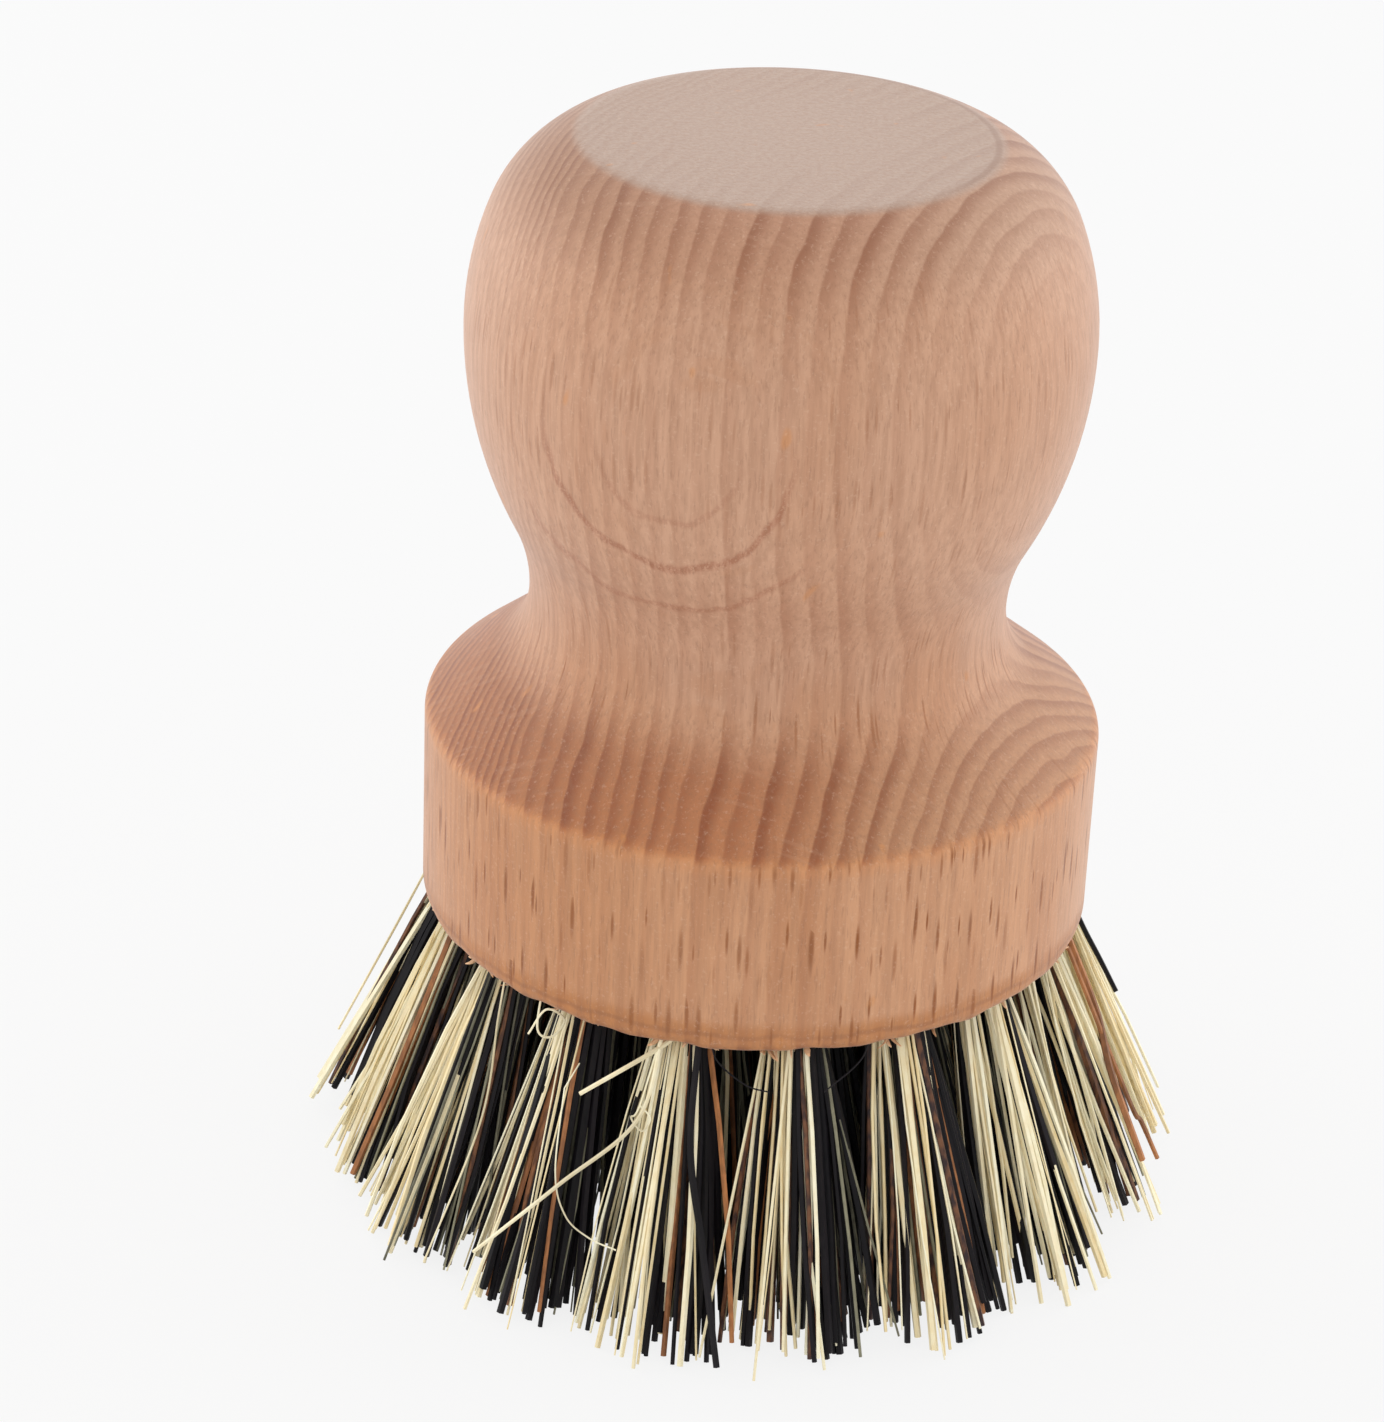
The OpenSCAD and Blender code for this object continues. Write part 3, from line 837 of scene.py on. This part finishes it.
fibre_materials = [
    fibre_material("cream_fibre", (0.84, 0.66, 0.34), (0.99, 0.95, 0.72), 0.45),
    fibre_material("black_fibre", (0.003, 0.003, 0.004), (0.014, 0.011, 0.014), 0.5,
                   specular=0.18),
    fibre_material("brown_fibre", (0.03, 0.016, 0.018), (0.54, 0.22, 0.08), 0.5,
                   mottled=0.3, specular=0.3),
    # The pale fibre in painted shade, for strands that lie deep in the head.
    fibre_material("cream_fibre_in_shade", (0.05, 0.048, 0.035), (0.30, 0.285, 0.19), 0.5, specular=0.3),
]
for bundle in tufts + [strays]:
    for material in fibre_materials:
        bundle.data.materials.append(material)
# The slivers are paler than the handle: partly torn fibre, partly painted light against the shade
# under the base.
torn.data.materials.append(
    fibre_material("torn_beech_with_painted_light", (0.74, 0.40, 0.20), (0.90, 0.62, 0.38), 0.6))
print("fibre materials:", len(fibre_materials))

# %% Anchor wire
wire, tree, shader = new_material("anchor_wire", (0.55, 0.56, 0.58))
spot = node_in(tree, "ShaderNodeTexCoord").outputs["Object"]
drawn = {"Vector": spot, "Scale": 700.0, "Detail": 2.0}
drawn = node_in(tree, "ShaderNodeTexNoise", drawn).outputs[0]
tint = blended(tree, drawn, (0.42, 0.43, 0.45), (0.62, 0.63, 0.65))
tree.links.new(tint, shader.inputs["Base Color"])
tree.links.new(between(tree, drawn, 0.3, 0.7, 0.28, 0.42), shader.inputs["Roughness"])
shader.inputs["Metallic"].default_value = 1.0
anchors = [piece for name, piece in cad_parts.items() if name.startswith("anchor")]
for anchor in anchors:
    anchor.data.materials.clear()
    anchor.data.materials.append(wire)
print("anchor nodes:", len(anchors))

# %% [markdown]
# ## Floor, light and camera
#
# The brush stands on a pale floor that fills the picture. The camera looks down on it from close
# by, with a long lens. Its place and turn come from fitting a perspective camera to the outline of
# the handle. The light is that of a small photo tent: soft from all around and brightest from
# behind, with a lamp at each side, a little behind the brush.
#
# The tone of the floor and the background is set apart from the light on the brush. Where the
# camera or a reflection sees the floor, most of its colour is a glow of its own. A little of it is
# the lit floor, which keeps the soft shadow under the tips.

# %% Floor
BACKGROUND, GLOW_SHARE = 0.957, 0.88
bm = bmesh.new()
bmesh.ops.create_grid(bm, x_segments=2, y_segments=2, size=8.0)
floor = mesh_object("floor", bm)
paper, tree, shader = new_material("pale_floor", (0.9, 0.9, 0.9))
shader.inputs["Roughness"].default_value = 0.9
shader.inputs["Specular IOR Level"].default_value = 0.0
glow = node_in(tree, "ShaderNodeEmission", {"Color": (1, 1, 1, 1), "Strength": BACKGROUND})
ways = node_in(tree, "ShaderNodeLightPath").outputs
mirrored = maths(tree, "MAXIMUM", ways["Is Glossy Ray"], ways["Is Transmission Ray"])
seen = maths(tree, "MAXIMUM", ways["Is Camera Ray"], mirrored)
lit = blended(tree, seen, (0.92, 0.92, 0.92), (0.78, 0.78, 0.78))
tree.links.new(lit, shader.inputs["Base Color"])
layers = {0: maths(tree, "MULTIPLY", seen, GLOW_SHARE), 1: shader.outputs[0], 2: glow.outputs[0]}
surface = node_in(tree, "ShaderNodeMixShader", layers).outputs[0]
tree.links.new(surface, tree.nodes["Material Output"].inputs["Surface"])
floor.data.materials.append(paper)

# %% Light
world = bpy.data.worlds.new("tent")
scene.world = world
world.use_nodes = True
tree = world.node_tree
toward = {0: node_in(tree, "ShaderNodeTexCoord").outputs["Generated"]}
toward = node_in(tree, "ShaderNodeSeparateXYZ", toward).outputs
bright = between(tree, toward[1], -0.5, 0.6, 0.95, 1.25)
camera_sees = node_in(tree, "ShaderNodeLightPath").outputs["Is Camera Ray"]
bright = node_in(tree, "ShaderNodeMix", {0: camera_sees, 2: bright, 3: BACKGROUND}).outputs[0]
tree.links.new(bright, tree.nodes["Background"].inputs[1])
tree.nodes["Background"].inputs[0].default_value = (1, 1, 1, 1)

LAMP_TARGET = Vector((0, 0, 0.045))     # the middle of the brush


def soft_lamp(name, place, size, power):
    """A square lamp that looks at the middle of the brush."""
    data = bpy.data.lights.new(name, "AREA")
    data.shape, data.size, data.energy = "SQUARE", size, power
    lamp = bpy.data.objects.new(name, data)
    lamp.location = place
    lamp.rotation_euler = (LAMP_TARGET - Vector(place)).to_track_quat("-Z", "Y").to_euler()
    scene.collection.objects.link(lamp)


soft_lamp("left_lamp", (-0.55, 0.20, 0.18), 0.4, 1.0)
soft_lamp("right_lamp", (0.55, 0.20, 0.18), 0.4, 0.8)

# %% Camera
CAMERA_PLACE = (0, -0.3166, 0.2022)
YAW, PITCH, ROLL = math.radians(-1.031), math.radians(27.10), math.radians(2.40)
ahead = Vector((math.sin(YAW) * math.cos(PITCH), math.cos(YAW) * math.cos(PITCH),
                -math.sin(PITCH)))
level_right = ahead.cross(Vector((0, 0, 1))).normalized()
level_up = level_right.cross(ahead)
right = math.cos(ROLL) * level_right + math.sin(ROLL) * level_up
up = right.cross(ahead)
camera_data = bpy.data.cameras.new("camera")
camera = bpy.data.objects.new("camera", camera_data)
turned = Matrix((right, up, -ahead)).transposed().to_4x4()
camera.matrix_world = Matrix.Translation(CAMERA_PLACE) @ turned
camera_data.lens, camera_data.sensor_width = 110.1, 36.0
camera_data.clip_start, camera_data.clip_end = 0.01, 20.0
scene.collection.objects.link(camera)
scene.camera = camera
scene.view_settings.view_transform = "Standard"
